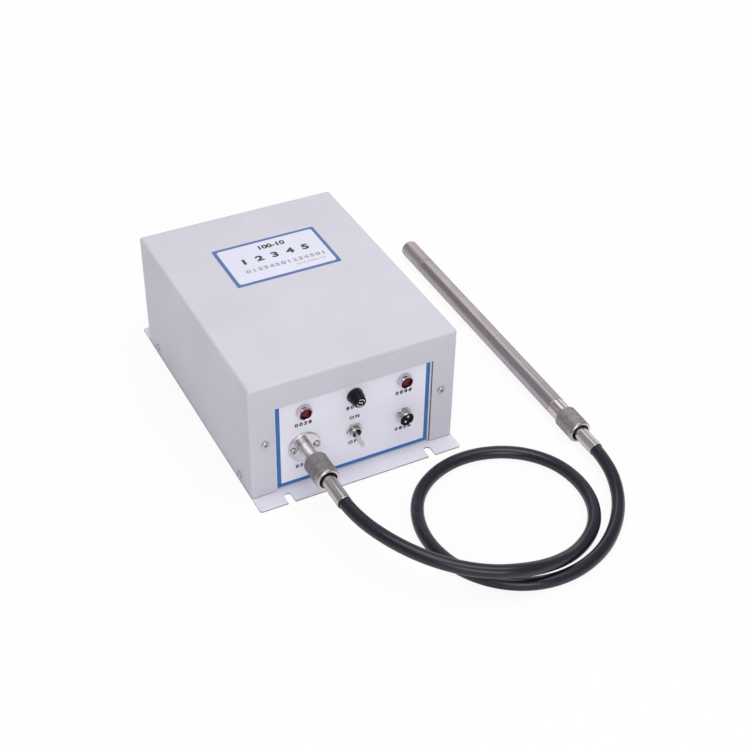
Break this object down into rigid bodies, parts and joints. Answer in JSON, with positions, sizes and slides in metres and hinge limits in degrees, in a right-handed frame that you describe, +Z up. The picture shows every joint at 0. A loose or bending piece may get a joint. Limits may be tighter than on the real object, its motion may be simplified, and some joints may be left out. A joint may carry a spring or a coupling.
{
  "type": "high-energy ignition set",
  "caption": "High-energy ignition set: a steel box with a control panel, a screened high-tension cable and an ignition rod whose tip sparks at the burner.",
  "frame": {"origin": "centre of the base plate's underside", "axes": "+X along the front to the right, control panel faces -Y, +Z up out of the base plate"},
  "size_m": [0.3508, 0.5414, 0.1344],
  "materials": {
    "case_paint": "fine satin powder coat, light grey",
    "base_paint": "satin powder coat, light grey",
    "panel_steel": "satin powder coat, light grey",
    "overlay_print": "printed film, white with a blue border",
    "label_print": "printed film, white with a blue border",
    "zinc_screws": "bright zinc plate",
    "bright_plate": "bright nickel plate",
    "lamp_lens": "translucent red",
    "black_plastic": "moulded black plastic",
    "brown_plastic": "moulded phenolic plastic",
    "fuse_glass": "glass tube with plated ends",
    "tinned_brass": "tinned brass",
    "socket_metal": "turned aluminium",
    "nut_metal": "straight-knurled, satin nickel plate",
    "sleeve_metal": "turned satin steel",
    "insulator": "alumina ceramic",
    "moulded_insulator": "white fluoropolymer",
    "contact_brass": "turned brass",
    "seal_rubber": "black moulded rubber",
    "cable_jacket": "smooth black silicone jacket",
    "rod_steel": "drawn stainless tube, dull",
    "polished_steel": "polished stainless",
    "tip_steel": "ground stainless",
    "core_steel": "stacked varnished laminations",
    "winding_tape": "taped winding",
    "strap_steel": "zinc-plated strip",
    "capacitor_case": "drawn can",
    "tube_glass": "ceramic envelope with metal caps",
    "clip_plastic": "moulded glass-filled plastic",
    "board_laminate": "glass-epoxy laminate, green",
    "component_cases": "moulded component cases",
    "standoff_brass": "hexagon brass"
  },
  "bodies": {
    "ignition_set": {"base_plate": "base_paint", "case_cover": "case_paint", "front_panel": "panel_steel", "panel_overlay": "overlay_print", "top_label": "label_print", "cover_screws": "zinc_screws", "chassis_screws": "zinc_screws", "left_lamp_bezel": "bright_plate", "left_lamp_lens": "lamp_lens", "left_lamp_body": "black_plastic", "right_lamp_bezel": "bright_plate", "right_lamp_lens": "lamp_lens", "right_lamp_body": "black_plastic", "lamp_nuts": "zinc_screws", "fuse_holder_body": "black_plastic", "fuse_holder_nut": "black_plastic", "fuse_holder_terminals": "tinned_brass", "toggle_bushing": "bright_plate", "toggle_nut": "bright_plate", "toggle_body": "brown_plastic", "toggle_terminals": "tinned_brass", "inlet_shell": "bright_plate", "inlet_insert": "black_plastic", "inlet_pins": "tinned_brass", "inlet_nut": "zinc_screws", "output_socket": "socket_metal", "output_flange_screws": "zinc_screws", "output_insulator": "moulded_insulator", "output_contact": "contact_brass", "box_plug_sleeve": "sleeve_metal", "box_plug_insulator": "moulded_insulator", "box_plug_pin": "contact_brass", "ignition_cable": "cable_jacket", "rod_plug_sleeve": "sleeve_metal", "rod_plug_insulator": "moulded_insulator", "rod_plug_pin": "contact_brass", "rod_connector": "polished_steel", "rod_tube": "rod_steel", "rod_tip": "tip_steel", "rod_insulator": "insulator", "rod_conductor": "contact_brass", "rod_tip_ring": "insulator", "transformer_core": "core_steel", "transformer_winding": "winding_tape", "transformer_bracket": "strap_steel", "storage_capacitor": "capacitor_case", "capacitor_clamp": "strap_steel", "discharge_tube": "tube_glass", "tube_clips": "clip_plastic", "output_lead": "contact_brass", "circuit_board": "board_laminate", "board_standoffs": "standoff_brass", "board_components": "component_cases"},
    "toggle_lever": {"toggle_lever": "bright_plate"},
    "fuse_carrier": {"fuse_link": "fuse_glass"},
    "fuse_cap": {"fuse_cap": "black_plastic"},
    "box_nut_slide": {"box_dust_seal": "seal_rubber"},
    "box_union_nut": {"box_union_nut": "nut_metal"},
    "rod_nut_slide": {"rod_dust_seal": "seal_rubber"},
    "rod_union_nut": {"rod_union_nut": "nut_metal"}
  },
  "joints": [
    {"name": "toggle_rock", "type": "hinge", "parent": "ignition_set", "child": "toggle_lever", "pos_m": [0.0005, -0.1377, 0.0465], "axis": [-1, 0, 0], "range_deg": [0, 27]},
    {"name": "fuse_travel", "type": "slide", "parent": "ignition_set", "child": "fuse_carrier", "axis": [0, -1, 0], "range_m": [0, 0.0045]},
    {"name": "fuse_cap_turn", "type": "hinge", "parent": "fuse_carrier", "child": "fuse_cap", "pos_m": [0.0005, -0.1417, 0.0902], "axis": [0, -1, 0], "range_deg": [0, 1080]},
    {"name": "box_nut_travel", "type": "slide", "parent": "ignition_set", "child": "box_nut_slide", "axis": [0, -1, 0], "range_m": [0, 0.012]},
    {"name": "box_nut_turn", "type": "hinge", "parent": "box_nut_slide", "child": "box_union_nut", "pos_m": [-0.0535, -0.1772, 0.0465], "axis": [0, -1, 0], "range_deg": [0, 2880]},
    {"name": "rod_nut_travel", "type": "slide", "parent": "ignition_set", "child": "rod_nut_slide", "axis": [-0.0157, -0.9999, 0.0058], "range_m": [0, 0.012]},
    {"name": "rod_nut_turn", "type": "hinge", "parent": "rod_nut_slide", "child": "rod_union_nut", "pos_m": [0.22287, -0.1912, 0.01218], "axis": [-0.0157, -0.9999, 0.0058], "range_deg": [0, 2880]}
  ],
  "couplings": [
    {"joint": "fuse_cap_turn", "follows": "fuse_travel", "rad_per_m": 4188.8},
    {"joint": "box_nut_turn", "follows": "box_nut_travel", "rad_per_m": 4188.8},
    {"joint": "rod_nut_turn", "follows": "rod_nut_travel", "rad_per_m": 4188.8}
  ]
}
